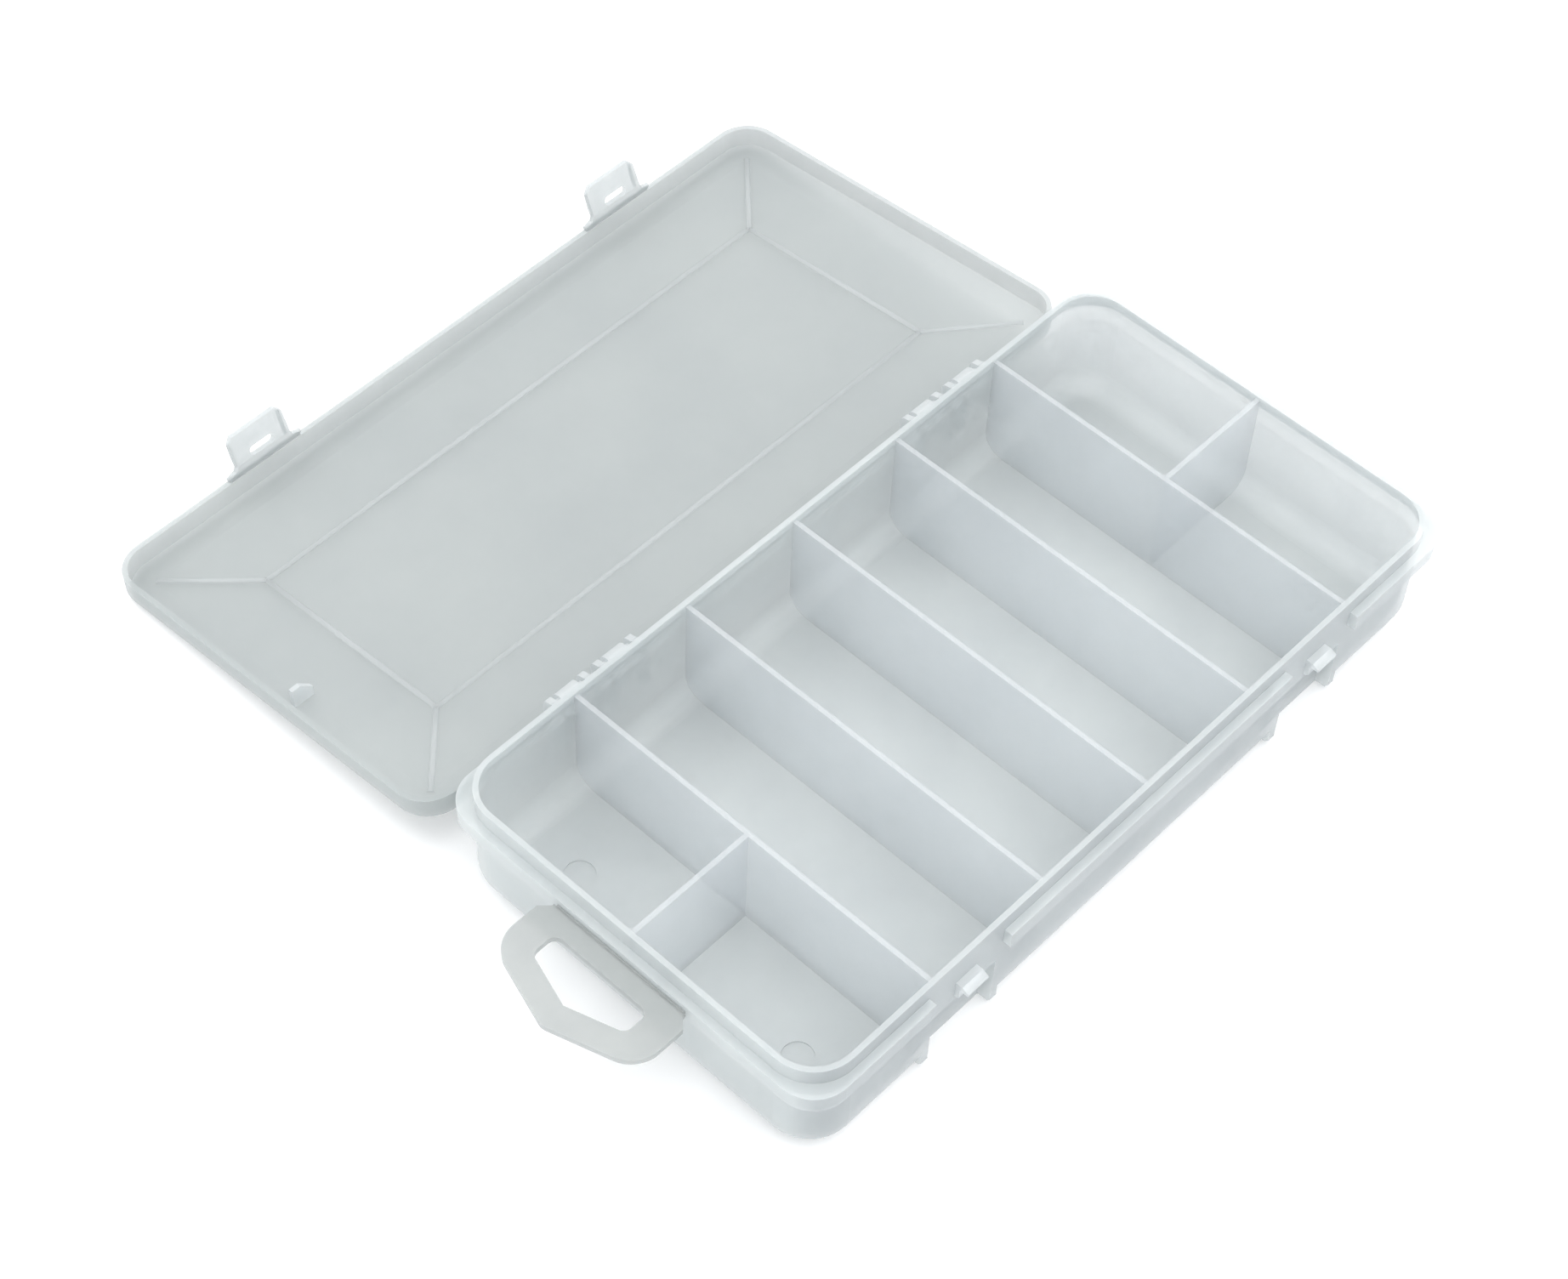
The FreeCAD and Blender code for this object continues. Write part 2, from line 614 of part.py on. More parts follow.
def make_flap(side, sign):
    """A flap that hangs from the lid's edge, with a slot for the catch and a flared pull tip."""
    body = new_body("latch_flap_" + side)
    middle = sign + "latch_spacing/2"
    half = "flap_thickness/2"
    axis_y = FLAP_AXIS_Y
    axis_z = "(%s)" % FLAP_AXIS_Z
    low = axis_z + " - flap_length"
    bead = disc(body, "BeadSection", "YZ_Plane", middle, (axis_y, axis_z), half)
    extrude(body, "Pad", "Bead", bead, "flap_root_width", middle=True)

    plate = outline(body, "PlateProfile", "YZ_Plane", middle, [
        (axis_y + " + " + half, axis_z),
        (axis_y + " + " + half, axis_z + " - flap_bend"),
        (axis_y + " + %s - flap_flare" % half, low),
        (axis_y + " - %s - flap_flare" % half, low),
        (axis_y + " - " + half, axis_z + " - flap_bend"),
        (axis_y + " - " + half, axis_z)])
    extrude(body, "Pad", "Plate", plate, "flap_width", middle=True)

    for end, direction in (("a", "-"), ("b", "+")):
        root = outline(body, "RootWing_" + end, "XZ_Plane", "-(%s)" % axis_y, [
            ("%s %s flap_root_width/2" % (middle, direction), axis_z),
            ("%s %s (flap_width/2 + 0.6)" % (middle, direction), axis_z + " - flap_root_height*0.4"),
            ("%s %s flap_width/2" % (middle, direction), axis_z + " - flap_root_height"),
            ("%s %s (flap_width/2 - 1)" % (middle, direction), axis_z + " - flap_root_height"),
            ("%s %s (flap_width/2 - 1)" % (middle, direction), axis_z)])
        extrude(body, "Pad", "RootWingPad_" + end, root, "flap_thickness", middle=True)
        rib_place = "%s %s (flap_width/2 - flap_rib/2)" % (middle, direction)
        rib = outline(body, "RibProfile_" + end, "YZ_Plane", rib_place, [
            (axis_y + " - %s + 0.1" % half, axis_z + " - flap_bend*0.3"),
            (axis_y + " - %s + 0.1 - flap_flare*0.8" % half, low + " + flap_length*0.2"),
            (axis_y + " - %s - flap_flare*0.8" % half, low + " + flap_length*0.2"),
            (axis_y + " - %s - flap_rib" % half, axis_z + " - flap_bend - 1.2")])
        extrude(body, "Pad", "Rib_" + end, rib, "flap_rib", middle=True)
        corner = outline(body, "TipCorner_" + end, "XZ_Plane", "-(%s)" % axis_y, [
            ("%s %s (flap_width/2 + 1)" % (middle, direction), low + " + tip_corner + 1"),
            ("%s %s (flap_width/2 + 1)" % (middle, direction), low + " - 1"),
            ("%s %s (flap_width/2 - tip_corner - 1)" % (middle, direction), low + " - 1")])
        extrude(body, "Pocket", "TipCut_" + end, corner, "8*flap_thickness", middle=True)

    slot_half = "(nub_height/2 + slot_clearance)"
    straight = "(nub_width/2 - nub_height/2)"
    slot = rectangle(body, "SlotOutline", "XZ_Plane", "-(%s)" % axis_y, straight, slot_half,
                     (middle, "nub_middle"))
    extrude(body, "Pocket", "Slot", slot, "8*flap_thickness", middle=True)
    for end, direction in (("a", "-"), ("b", "+")):
        round_end = disc(body, "SlotEnd_" + end, "XZ_Plane", "-(%s)" % axis_y,
                         ("%s %s %s" % (middle, direction, straight), "nub_middle"), slot_half)
        extrude(body, "Pocket", "SlotRound_" + end, round_end, "8*flap_thickness", middle=True)
    swing_open(body)
    return body


# ---------------------------------------------------------------- hang tab

def make_hang_tab():
    body = new_body("hang_tab")
    half = "tab_thickness/2"
    shoulder = "-(tray_length/2 + tab_length - tab_point)"
    point = "-(tray_length/2 + tab_length)"
    bead = disc(body, "BeadSection", "XZ_Plane", "0", (TAB_AXIS_X, "tab_level"), half)
    extrude(body, "Pad", "Bead", bead, "tab_width - 2*tab_root_corner", middle=True)
    loop = outline(body, "TabOutline", "XY_Plane", "tab_level", [
        (TAB_AXIS_X, "-tab_width/2 + tab_root_corner"),
        (TAB_AXIS_X + " - tab_root_corner", "-tab_width/2"),
        (shoulder, "-tab_width/2"),
        (point, "0"),
        (shoulder, "tab_width/2"),
        (TAB_AXIS_X + " - tab_root_corner", "tab_width/2"),
        (TAB_AXIS_X, "tab_width/2 - tab_root_corner")])
    extrude(body, "Pad", "TabPlate", loop, "tab_thickness", middle=True)
    shoulder_x = value(shoulder)
    point_x = value(point)

    def at_shoulder(edge):
        return upright(edge) and abs(box_of(edge).XMin - shoulder_x) < 1e-4

    def at_point(edge):
        return upright(edge) and abs(box_of(edge).XMin - point_x) < 1e-4

    round_edges(body, "TabShoulders", "tab_corner", at_shoulder)
    round_edges(body, "TabPoint", "tab_corner/2", at_point)

    strap_x = "-(tray_length/2 + tab_strap)"
    lean = "tab_point*tab_opening_width/tab_width"
    opening_point = "-(tray_length/2 + tab_length - tab_band)"
    hole = outline(body, "OpeningOutline", "XY_Plane", "tab_level", [
        (strap_x, "-tab_opening_width/2"),
        ("%s + %s" % (opening_point, lean), "-tab_opening_width/2"),
        (opening_point, "0"),
        ("%s + %s" % (opening_point, lean), "tab_opening_width/2"),
        (strap_x, "tab_opening_width/2")])
    extrude(body, "Pocket", "Opening", hole, "2*tab_thickness", middle=True)
    opening_half = size("tab_opening_width") / 2

    def opening_corner(edge):
        return upright(edge) and abs(abs(box_of(edge).YMin) - opening_half) < 1e-4

    round_edges(body, "OpeningCorners", "tab_opening_corner", opening_corner)
    return body


# ---------------------------------------------------------------- build, check, write

parts = [make_tray_shell()]
parts += [make_divider(number) for number in range(1, 6)]
parts += [make_cross_divider(side, sign) for side, sign in SIDES]
parts += [make_catch(side, sign) for side, sign in SIDES]
parts += [make_bracket(number) for number in range(1, 5)]
parts += [make_lid_shell(), make_locating_fin()]
parts += [make_claw(number) for number in range(1, 5)]
parts += [make_flap(side, sign) for side, sign in SIDES]
parts += [make_hang_tab()]
doc.recompute()

for item in doc.Objects:
    if "Invalid" in item.State or "Error" in item.State:
        raise RuntimeError("%s did not compute: %s" % (item.Label, item.State))
for part in parts:
    if part.Shape.isNull() or not part.Shape.isValid():
        raise RuntimeError("%s has no valid shape" % part.Label)

os.makedirs("parts", exist_ok=True)
for part in parts:
    part.Shape.exportStep("parts/%s.step" % part.Label)
    box = part.Shape.BoundBox
    print("%-20s %9.1f mm3  x %.1f..%.1f  y %.1f..%.1f  z %.2f..%.2f" % (
        part.Label, part.Shape.Volume, box.XMin, box.XMax, box.YMin, box.YMax, box.ZMin, box.ZMax))
print("lid opened by %.3f degrees" % OPENING_ANGLE)
print("hinge axis y %.3f z %.3f" % (value(HINGE_Y), value(HINGE_Z)))
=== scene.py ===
"""A frosted plastic tackle box lying open: finishes, film hinges, light and camera."""
import json
import math

import bpy
from mathutils import Matrix, Vector


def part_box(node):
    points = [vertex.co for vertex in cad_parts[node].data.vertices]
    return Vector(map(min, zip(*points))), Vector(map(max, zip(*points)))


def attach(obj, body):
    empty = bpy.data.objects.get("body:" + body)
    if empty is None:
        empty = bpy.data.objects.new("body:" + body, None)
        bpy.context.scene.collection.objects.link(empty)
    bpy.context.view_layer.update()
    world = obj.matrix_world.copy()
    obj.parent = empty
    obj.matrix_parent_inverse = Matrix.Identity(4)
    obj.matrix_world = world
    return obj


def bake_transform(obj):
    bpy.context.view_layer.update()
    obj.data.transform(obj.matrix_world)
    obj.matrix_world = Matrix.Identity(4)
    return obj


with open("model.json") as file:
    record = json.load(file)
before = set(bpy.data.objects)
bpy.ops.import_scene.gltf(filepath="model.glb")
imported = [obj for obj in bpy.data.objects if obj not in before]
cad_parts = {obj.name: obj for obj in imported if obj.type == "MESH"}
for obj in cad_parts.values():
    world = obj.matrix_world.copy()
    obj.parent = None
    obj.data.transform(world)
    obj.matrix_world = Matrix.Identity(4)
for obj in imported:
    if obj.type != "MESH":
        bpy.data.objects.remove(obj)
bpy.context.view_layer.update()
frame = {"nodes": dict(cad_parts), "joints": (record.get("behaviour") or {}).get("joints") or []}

MM = 0.001

# places taken from the joints and solids of the part, in millimetres
joints = {joint["name"]: joint for joint in frame["joints"]}
HINGE_AXIS = [place / MM for place in joints["lid_hinge"]["pos_m"][1:]]
OPENING_TURN = math.radians(joints["lid_hinge"]["range_deg"][1])
LATCH_MIDDLES = {side: joints[side + "_latch_flex"]["pos_m"][0] / MM for side in ("left", "right")}
TAB_LEVEL = joints["hang_tab_fold"]["pos_m"][2] / MM
RIM_HALF_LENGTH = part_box("tray_shell")[1].x / MM
RIM_HALF_WIDTH = -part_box("tray_shell")[0].y / MM
TAB_BEAD_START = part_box("hang_tab")[1].x / MM

# sizes shared with the solid model, in millimetres
LID_EDGE = 27.65
LID_DEPTH = 6.6
LID_WALL = 1.3
BEVEL_INSET = 7.5
PANEL_INSET = 25.2
PANEL_RISE = 1.5
FLAP_THICKNESS = 1.2
FLAP_ROOT_WIDTH = 22.0
FILM_GAP = 0.3
TAB_ROOT_WIDTH = 37.6

# sizes of the pieces added here, in millimetres
FILM_THICKNESS = 1.0
FILM_BITE = 0.25
TAB_FILM_BITE = 0.3
LID_FILM_BITE = 0.2
FLAP_FILM_SIDE_MARGIN = 0.4
TAB_FILM_SIDE_MARGIN = 0.6
MITRE_SIZE = (1.7, 0.42)
PANEL_EDGE_SIZE = (1.9, 0.26)
CREASE_SINK = 0.12
EDGE_SOFTNESS = 0.25


def opened(x, y, z):
    """A point drawn on the closed lid, moved to where it lies when the lid is open."""
    across, rise = y - HINGE_AXIS[0], z - HINGE_AXIS[1]
    cosine, sine = math.cos(OPENING_TURN), math.sin(OPENING_TURN)
    return Vector((x, HINGE_AXIS[0] + across * cosine + rise * sine,
                   HINGE_AXIS[1] - across * sine + rise * cosine)) * MM


# ------------------------------------------------------------------ shader helpers

def add_node(tree, kind, label="", **settings):
    node = tree.nodes.new(kind)
    node.label = label
    for name, setting in settings.items():
        setattr(node, name, setting)
    return node


def plastic_surface_group():
    """Colour, roughness and height of moulded polypropylene: cloudy flow, fine grain, scuffs, plus painted
    light that whitens upward faces and painted shade that darkens the outer walls.
    """
    group = bpy.data.node_groups.new("moulded plastic surface", "ShaderNodeTree")
    face = group.interface
    for name, default in (("Clear Colour", (0.8, 0.8, 0.8, 1)), ("Milky Colour", (0.9, 0.9, 0.9, 1))):
        face.new_socket(name, in_out="INPUT", socket_type="NodeSocketColor").default_value = default
    for name, default in (("Cloud Scale", 30.0), ("Roughness", 0.4), ("Grain Depth", 0.3),
                          ("Scuff Amount", 0.3), ("Painted Top Light", 0.3), ("Outer Painted Shade", 0.0)):
        face.new_socket(name, in_out="INPUT", socket_type="NodeSocketFloat").default_value = default
    face.new_socket("Colour", in_out="OUTPUT", socket_type="NodeSocketColor")
    face.new_socket("Roughness", in_out="OUTPUT", socket_type="NodeSocketFloat")
    face.new_socket("Height", in_out="OUTPUT", socket_type="NodeSocketFloat")
    inputs = add_node(group, "NodeGroupInput")
    outputs = add_node(group, "NodeGroupOutput")
    place = add_node(group, "ShaderNodeTexCoord", "object space")
    link = group.links.new

    cloud = add_node(group, "ShaderNodeTexNoise", "flow clouds")
    cloud.inputs["Detail"].default_value = 4.0
    cloud.inputs["Roughness"].default_value = 0.55
    link(place.outputs["Object"], cloud.inputs["Vector"])
    link(inputs.outputs["Cloud Scale"], cloud.inputs["Scale"])
    spread = add_node(group, "ShaderNodeMapRange", "cloud contrast")
    spread.inputs["From Min"].default_value = 0.32
    spread.inputs["From Max"].default_value = 0.68
    link(cloud.outputs["Fac"], spread.inputs["Value"])
    tint = add_node(group, "ShaderNodeMix", "milky tint", data_type="RGBA")
    link(spread.outputs["Result"], tint.inputs["Factor"])
    link(inputs.outputs["Clear Colour"], tint.inputs["A"])
    link(inputs.outputs["Milky Colour"], tint.inputs["B"])
    # painted light: faces that look upward are mixed towards near-white, so tops read lighter as if lit
    # from above
    facing = add_node(group, "ShaderNodeNewGeometry", "which way a face looks")
    split = add_node(group, "ShaderNodeSeparateXYZ", "upward part")
    link(facing.outputs["Normal"], split.inputs["Vector"])
    upward = add_node(group, "ShaderNodeMapRange", "upward faces", interpolation_type="SMOOTHSTEP")
    upward.inputs["From Min"].default_value = 0.25
    upward.inputs["From Max"].default_value = 0.95
    link(split.outputs["Z"], upward.inputs["Value"])
    top_light_amount = add_node(group, "ShaderNodeMath", "painted light on upward faces", operation="MULTIPLY")
    link(upward.outputs["Result"], top_light_amount.inputs[0])
    link(inputs.outputs["Painted Top Light"], top_light_amount.inputs[1])
    # near-white colour of the painted light on upward faces
    top_lit = add_node(group, "ShaderNodeMix", "painted top light tint", data_type="RGBA")
    top_lit.inputs["B"].default_value = (0.94, 0.955, 0.95, 1)
    link(top_light_amount.outputs["Value"], top_lit.inputs["Factor"])
    link(tint.outputs["Result"], top_lit.inputs["A"])
    # painted shade: outer faces of the latch-side wall and the far end wall are mixed towards dark grey, as
    # if less light fell on them
    outward = add_node(group, "ShaderNodeMapping", "outward at the latch side and far end")
    outward.inputs["Scale"].default_value = (0.5 / (RIM_HALF_LENGTH * MM), 0.5 / (RIM_HALF_WIDTH * MM), 0.0)
    outward.inputs["Location"].default_value = (0.5, -0.5, 0.0)
    link(place.outputs["Object"], outward.inputs["Vector"])
    along = add_node(group, "ShaderNodeVectorMath", "how far it faces out", operation="DOT_PRODUCT")
    link(outward.outputs["Vector"], along.inputs[0])
    link(place.outputs["Normal"], along.inputs[1])
    outer = add_node(group, "ShaderNodeMapRange", "outer faces", interpolation_type="SMOOTHSTEP")
    outer.inputs["From Min"].default_value = 0.2
    outer.inputs["From Max"].default_value = 0.9
    link(along.outputs["Value"], outer.inputs["Value"])
    outer_shade_amount = add_node(group, "ShaderNodeMath", "outer painted shade strength", operation="MULTIPLY")
    link(outer.outputs["Result"], outer_shade_amount.inputs[0])
    link(inputs.outputs["Outer Painted Shade"], outer_shade_amount.inputs[1])
    # dark grey of the painted shade on the outer walls
    outer_shaded = add_node(group, "ShaderNodeMix", "painted shade on outer walls", data_type="RGBA")
    outer_shaded.inputs["B"].default_value = (0.30, 0.325, 0.34, 1)
    link(outer_shade_amount.outputs["Value"], outer_shaded.inputs["Factor"])
    link(top_lit.outputs["Result"], outer_shaded.inputs["A"])
    link(outer_shaded.outputs["Result"], outputs.inputs["Colour"])

    grain = add_node(group, "ShaderNodeTexNoise", "mould grain")
    grain.inputs["Scale"].default_value = 2600.0
    grain.inputs["Detail"].default_value = 2.0
    link(place.outputs["Object"], grain.inputs["Vector"])
    ripple = add_node(group, "ShaderNodeTexNoise", "sink ripple")
    ripple.inputs["Scale"].default_value = 70.0
    ripple.inputs["Detail"].default_value = 1.0
    link(place.outputs["Object"], ripple.inputs["Vector"])
    stretch = add_node(group, "ShaderNodeMapping", "scuff direction")
    stretch.inputs["Scale"].default_value = (40.0, 500.0, 300.0)
    stretch.inputs["Rotation"].default_value = (0.2, 0.1, 0.6)
    link(place.outputs["Object"], stretch.inputs["Vector"])
    scuff = add_node(group, "ShaderNodeTexNoise", "scuffs")
    scuff.inputs["Scale"].default_value = 1.0
    scuff.inputs["Detail"].default_value = 3.0
    link(stretch.outputs["Vector"], scuff.inputs["Vector"])
    scuff_mask = add_node(group, "ShaderNodeMapRange", "scuff mask")
    scuff_mask.inputs["From Min"].default_value = 0.6
    scuff_mask.inputs["From Max"].default_value = 0.75
    link(scuff.outputs["Fac"], scuff_mask.inputs["Value"])

    scuffed = add_node(group, "ShaderNodeMath", "scuff strength", operation="MULTIPLY")
    link(scuff_mask.outputs["Result"], scuffed.inputs[0])
    link(inputs.outputs["Scuff Amount"], scuffed.inputs[1])
    rough_cloud = add_node(group, "ShaderNodeMath", "cloudy roughness", operation="MULTIPLY_ADD")
    rough_cloud.inputs[1].default_value = 0.10
    link(spread.outputs["Result"], rough_cloud.inputs[0])
    link(inputs.outputs["Roughness"], rough_cloud.inputs[2])
    rough = add_node(group, "ShaderNodeMath", "scuffed roughness", operation="MULTIPLY_ADD")
    rough.inputs[1].default_value = 0.25
    link(scuffed.outputs["Value"], rough.inputs[0])
    link(rough_cloud.outputs["Value"], rough.inputs[2])
    link(rough.outputs["Value"], outputs.inputs["Roughness"])

    fine = add_node(group, "ShaderNodeMath", "grain height", operation="MULTIPLY")
    link(grain.outputs["Fac"], fine.inputs[0])
    link(inputs.outputs["Grain Depth"], fine.inputs[1])
    height = add_node(group, "ShaderNodeMath", "whole height", operation="MULTIPLY_ADD")
    height.inputs[1].default_value = 0.9
    link(ripple.outputs["Fac"], height.inputs[0])
    link(fine.outputs["Value"], height.inputs[2])
    link(height.outputs["Value"], outputs.inputs["Height"])
    return group


SURFACE = plastic_surface_group()


def plastic(name, clear, milky, roughness, cloud=30.0, grain=0.3, scuffs=0.3, body=0.4, glow=0.3, painted_top_light=0.0,
            polish=0.0, outer_painted_shade=0.0):
    """Frosted polypropylene. clear and milky are its two tones, body how much one face hides."""
    material = bpy.data.materials.new(name)
    material.use_nodes = True
    tree = material.node_tree
    shader = tree.nodes["Principled BSDF"]
    surface = add_node(tree, "ShaderNodeGroup", "moulded surface", node_tree=SURFACE)
    surface.inputs["Clear Colour"].default_value = (*clear, 1)
    surface.inputs["Milky Colour"].default_value = (*milky, 1)
    surface.inputs["Cloud Scale"].default_value = cloud
    surface.inputs["Roughness"].default_value = roughness
    surface.inputs["Grain Depth"].default_value = grain
    surface.inputs["Scuff Amount"].default_value = scuffs
    surface.inputs["Painted Top Light"].default_value = painted_top_light
    surface.inputs["Outer Painted Shade"].default_value = outer_painted_shade
    bump = add_node(tree, "ShaderNodeBump", "grain")
    bump.inputs["Strength"].default_value = 0.10
    bump.inputs["Distance"].default_value = 0.0002
    tree.links.new(surface.outputs["Colour"], shader.inputs["Base Color"])
    tree.links.new(surface.outputs["Roughness"], shader.inputs["Roughness"])
    tree.links.new(surface.outputs["Height"], bump.inputs["Height"])
    tree.links.new(bump.outputs["Normal"], shader.inputs["Normal"])
    shader.inputs["IOR"].default_value = 1.49
    shader.inputs["Specular IOR Level"].default_value = 0.4
    shader.inputs["Subsurface Weight"].default_value = glow
    shader.inputs["Subsurface Radius"].default_value = (1.0, 1.05, 1.08)
    shader.inputs["Subsurface Scale"].default_value = 0.003
    shader.inputs["Alpha"].default_value = body
    shader.inputs["Coat Weight"].default_value = polish
    shader.inputs["Coat Roughness"].default_value = 0.14
    return material


# the tray, divider and fitting plastics get painted light on their upward faces; the tray also gets painted
# shade on its outer walls
TRAY_PLASTIC = plastic("frosted tray plastic", (0.55, 0.585, 0.59), (0.61, 0.645, 0.645), 0.32,
                       body=0.49, glow=0.5, painted_top_light=0.03, polish=0.3, outer_painted_shade=0.75)
# painted light: the dividers are made lighter than the tray plastic to offset the shade inside the
# compartments
LIGHTENED_DIVIDER_PLASTIC = plastic("frosted divider plastic with painted light", (0.655, 0.69, 0.715), (0.705, 0.74, 0.765), 0.36,
                          body=0.33, glow=0.5, painted_top_light=0.12)
FITTING_PLASTIC = plastic("frosted fitting plastic", (0.68, 0.72, 0.735), (0.74, 0.775, 0.785), 0.36,
                          cloud=90.0, body=0.36, painted_top_light=0.3)
# painted shade: the lid is made darker than the tray plastic to offset the extra overhead light its
# upturned face catches
SHADED_LID_PLASTIC = plastic("frosted lid plastic with painted shade", (0.415, 0.445, 0.445), (0.45, 0.48, 0.475), 0.36,
                      cloud=22.0, body=0.52, glow=0.4, polish=0.15)
# painted highlight: the lid's crease ridges are made much lighter than the lid plastic, standing in for
# light caught along the creases
CREASE_HIGHLIGHT_PLASTIC = plastic("crease plastic with painted highlight", (0.66, 0.70, 0.71), (0.72, 0.76, 0.765), 0.30,
                         cloud=22.0, body=0.28, glow=0.4)
FLAP_PLASTIC = plastic("finger-polished flap plastic", (0.44, 0.47, 0.475), (0.49, 0.52, 0.52), 0.30,
                       cloud=120.0, scuffs=0.8, body=0.5, glow=0.4)
# painted shade: the flat hang tab is made darker than the tray plastic to offset the overhead light falling
# on it
SHADED_TAB_PLASTIC = plastic("smooth hang tab plastic with painted shade", (0.36, 0.38, 0.375), (0.405, 0.425, 0.415), 0.34,
                      cloud=60.0, body=0.56)


def finish_for(node_name):
    if node_name.startswith("latch_flap"):
        return FLAP_PLASTIC
    if node_name.startswith("lid"):
        return SHADED_LID_PLASTIC
    if node_name.startswith(("divider", "cross")):
        return LIGHTENED_DIVIDER_PLASTIC
    if node_name.startswith("hang_tab"):
        return SHADED_TAB_PLASTIC
    if node_name.startswith(("hinge_bracket", "hinge_claw", "latch_catch", "locating")):
        return FITTING_PLASTIC
    return TRAY_PLASTIC


def paint(obj, material):
    obj.data.materials.clear()
    obj.data.materials.append(material)


for name, node in frame["nodes"].items():
    paint(node, finish_for(name))

# ------------------------------------------------------------------ film hinges

def strip(name, corners_start, corners_end, rows=6):
    """A thin solid strip from one four-cornered end to another, ready to bend."""
    points, faces = [], []
    for row in range(rows + 1):
        share = row / rows
        for first, last in zip(corners_start, corners_end):
            points.append(first.lerp(last, share))
    for row in range(rows):
        for side in range(4):
            here = row * 4 + side
            there = row * 4 + (side + 1) % 4
            faces.append((here, there, there + 4, here + 4))
    faces.append((3, 2, 1, 0))
    top = rows * 4
    faces.append((top, top + 1, top + 2, top + 3))
    mesh = bpy.data.meshes.new(name)
    mesh.from_pydata(points, [], faces)
    mesh.validate()
    obj = bpy.data.objects.new(name, mesh)
    bpy.context.scene.collection.objects.link(obj)
    return obj


def flap_film(side, middle):
    """The web that a latch flap bends on, let into the lid's edge and the flap's bead."""
    half = FLAP_ROOT_WIDTH / 2 - FLAP_FILM_SIDE_MARGIN
    centre = -RIM_HALF_WIDTH + FLAP_THICKNESS / 2
    bead_top = LID_EDGE - FILM_GAP

    def corners(z):
        return [opened(middle + x_sign * half, centre + y_sign * FILM_THICKNESS / 2, z)
                for x_sign, y_sign in ((-1, -1), (1, -1), (1, 1), (-1, 1))]

    film = strip("latch_film_" + side, corners(LID_EDGE + LID_FILM_BITE),
                 corners(bead_top - FILM_BITE))
    paint(film, FLAP_PLASTIC)
    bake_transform(film)


for side, middle in LATCH_MIDDLES.items():
    flap_film(side, middle)


def tab_film():
    """The tear line between the tray's flange and the hang tab."""
    half = TAB_ROOT_WIDTH / 2 - TAB_FILM_SIDE_MARGIN
    flange_end = -RIM_HALF_LENGTH

    def corners(x):
        return [Vector((x, y_sign * half, TAB_LEVEL + z_sign * FILM_THICKNESS / 2)) * MM
                for y_sign, z_sign in ((-1, -1), (1, -1), (1, 1), (-1, 1))]

    film = strip("hang_tab_film", corners(flange_end + FILM_BITE),
                 corners(TAB_BEAD_START - TAB_FILM_BITE))
    paint(film, SHADED_TAB_PLASTIC)
    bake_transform(film)


tab_film()

# ------------------------------------------------------------------ creases in the lid

def crease(name, start, end, across, size):
    """A low rounded ridge on the lid's inner face between two points on the closed lid, coloured much
    lighter than the lid as a painted highlight along the crease.
    """
    start, end = Vector(start), Vector(end)
    width, height = size
    profile = [(-0.5, CREASE_SINK), (-0.3, -0.6 * height), (0.0, -height), (0.3, -0.6 * height),
               (0.5, CREASE_SINK)]
    across = Vector(across).normalized()
    ends = []
    for point in (start, end):
        ends.append([point + across * width * offset + Vector((0, 0, drop))
                     for offset, drop in profile])
    points = [opened(*point) for loop in ends for point in loop]
    count = len(profile)
    faces = [(i, i + 1, count + i + 1, count + i) for i in range(count - 1)]
    faces.append((count - 1, 0, count, 2 * count - 1))
    faces += [tuple(range(count - 1, -1, -1)), tuple(range(count, 2 * count))]
    mesh = bpy.data.meshes.new(name)
    mesh.from_pydata(points, [], faces)
    mesh.validate()
    for face in mesh.polygons[:count - 1]:
        face.use_smooth = True
    obj = bpy.data.objects.new(name, mesh)
    bpy.context.scene.collection.objects.link(obj)
    paint(obj, CREASE_HIGHLIGHT_PLASTIC)
    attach(obj, "lid")


def lid_creases():
    """The four mitres of the lid's bevel and the four edges of its raised panel."""
    halves = (RIM_HALF_LENGTH, RIM_HALF_WIDTH)
    foot = [half - BEVEL_INSET for half in halves]
    crown = [half - PANEL_INSET for half in halves]
    low = LID_EDGE + LID_DEPTH - LID_WALL
    high = low + PANEL_RISE
    corners = ((-1, -1), (1, -1), (1, 1), (-1, 1))
    for number, (x_sign, y_sign) in enumerate(corners, start=1):
        crease("lid_mitre_%d" % number, (x_sign * foot[0], y_sign * foot[1], low),
               (x_sign * crown[0], y_sign * crown[1], high), (-x_sign, y_sign, 0), MITRE_SIZE)
    for number in range(4):
        first, last = corners[number], corners[(number + 1) % 4]
        across = (0, 1, 0) if number % 2 == 0 else (1, 0, 0)
        crease("lid_panel_edge_%d" % (number + 1), (first[0] * crown[0], first[1] * crown[1], high),
               (last[0] * crown[0], last[1] * crown[1], high), across, PANEL_EDGE_SIZE)


lid_creases()

# ------------------------------------------------------------------ softened edges

for name, node in frame["nodes"].items():
    soften = node.modifiers.new("softened edges", "BEVEL")
    soften.width = EDGE_SOFTNESS * MM
    soften.segments = 2
    soften.limit_method = "ANGLE"
    soften.angle_limit = math.radians(40)

# ------------------------------------------------------------------ floor, light, camera

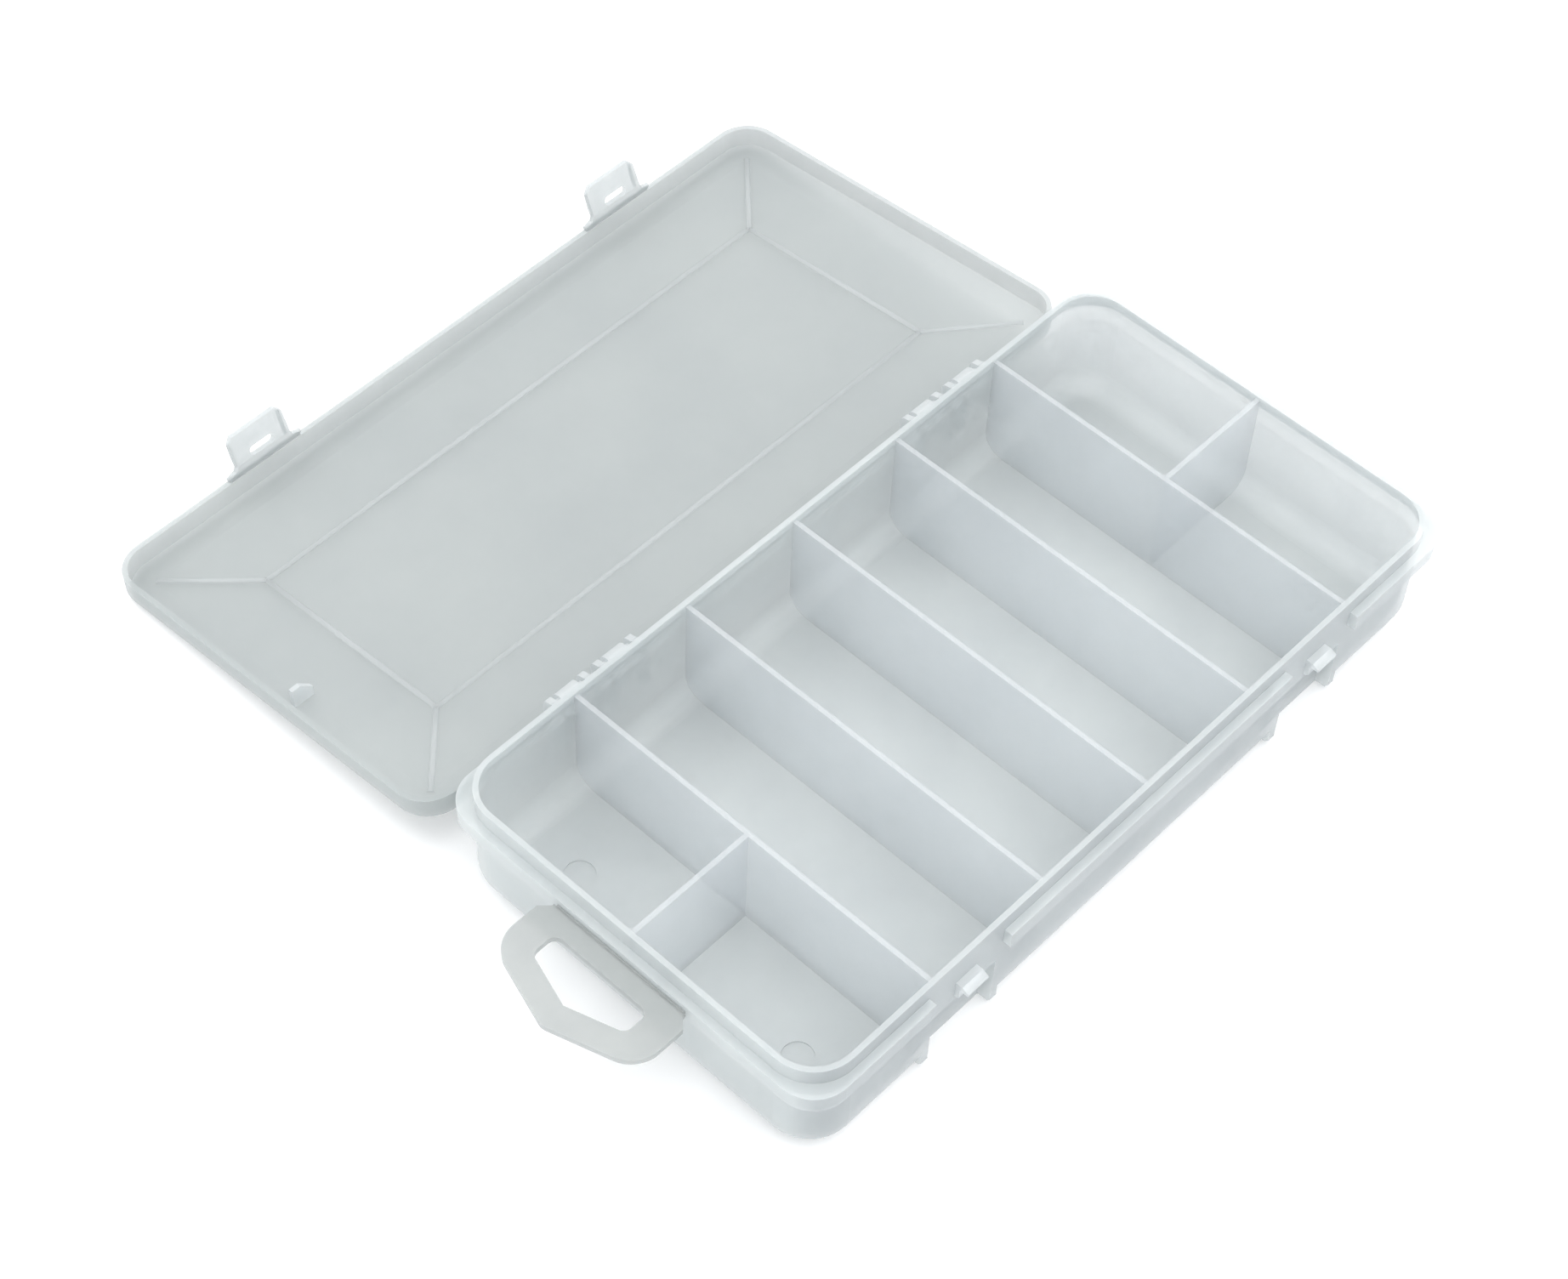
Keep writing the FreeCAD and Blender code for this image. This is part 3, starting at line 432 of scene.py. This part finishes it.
def studio():
    """A wide sheet of white paper under an even sky, with three soft lights."""
    floor_mesh = bpy.data.meshes.new("floor")
    reach = 3.0
    paper_gap = 0.0001
    floor_mesh.from_pydata([(-reach, -reach, 0), (reach, -reach, 0), (reach, reach, 0),
                            (-reach, reach, 0)], [], [(0, 1, 2, 3)])
    floor = bpy.data.objects.new("floor", floor_mesh)
    floor.location.z = -paper_gap
    bpy.context.scene.collection.objects.link(floor)
    paper = bpy.data.materials.new("white paper")
    paper.use_nodes = True
    shader = paper.node_tree.nodes["Principled BSDF"]
    shader.inputs["Base Color"].default_value = (0.93, 0.93, 0.93, 1)
    shader.inputs["Roughness"].default_value = 0.9
    shader.inputs["Specular IOR Level"].default_value = 0.1
    floor.data.materials.append(paper)

    world = bpy.data.worlds.new("soft room")
    world.use_nodes = True
    world.node_tree.nodes["Background"].inputs["Color"].default_value = (0.97, 0.985, 1.0, 1)
    world.node_tree.nodes["Background"].inputs["Strength"].default_value = 1.1
    bpy.context.scene.world = world

    def area(name, place, aim, power, width):
        light = bpy.data.lights.new(name, "AREA")
        light.energy = power
        light.size = width
        lamp = bpy.data.objects.new(name, light)
        lamp.location = place
        lamp.rotation_euler = (Vector(aim) - Vector(place)).to_track_quat("-Z", "Y").to_euler()
        bpy.context.scene.collection.objects.link(lamp)

    area("wide light overhead", (0.15, -0.25, 1.25), (0, 0.02, 0), 10.5, 1.3)
    area("light over the hinge", (-0.25, 0.75, 0.9), (0, 0.0, 0), 2.5, 0.5)
    area("narrow light low on the latch side", (0.55, -0.92, 0.46), (0, 0.03, 0), 0.8, 0.2)


CAMERA_TURN = math.radians(-48.7)
CAMERA_RISE = math.radians(52.19)
CAMERA_ROLL = math.radians(2.68)
CAMERA_AIM = Vector((-7.74, 45.46, 0.0)) * MM
CAMERA_DISTANCE = 748.07 * MM
CAMERA_LENS = 75.43
SENSOR_WIDTH = 36.0


def camera():
    """The camera above the hang tab's corner, turned a little so the far rim tilts."""
    turn, rise, roll = CAMERA_TURN, CAMERA_RISE, CAMERA_ROLL
    back = Vector((math.sin(turn) * math.cos(rise), -math.cos(turn) * math.cos(rise),
                   math.sin(rise)))
    right = Vector((math.cos(turn), math.sin(turn), 0))
    up = back.cross(right)
    level_right = right * math.cos(roll) + up * math.sin(roll)
    level_up = up * math.cos(roll) - right * math.sin(roll)
    lens = bpy.data.cameras.new("camera")
    lens.sensor_width = SENSOR_WIDTH
    lens.lens = CAMERA_LENS
    lens.clip_start = 0.01
    obj = bpy.data.objects.new("camera", lens)
    place = CAMERA_AIM + back * CAMERA_DISTANCE
    obj.matrix_world = Matrix.Translation(place) @ Matrix(
        (level_right, level_up, back)).transposed().to_4x4()
    bpy.context.scene.collection.objects.link(obj)
    bpy.context.scene.camera = obj


studio()
camera()
bpy.context.scene.view_settings.view_transform = "Standard"
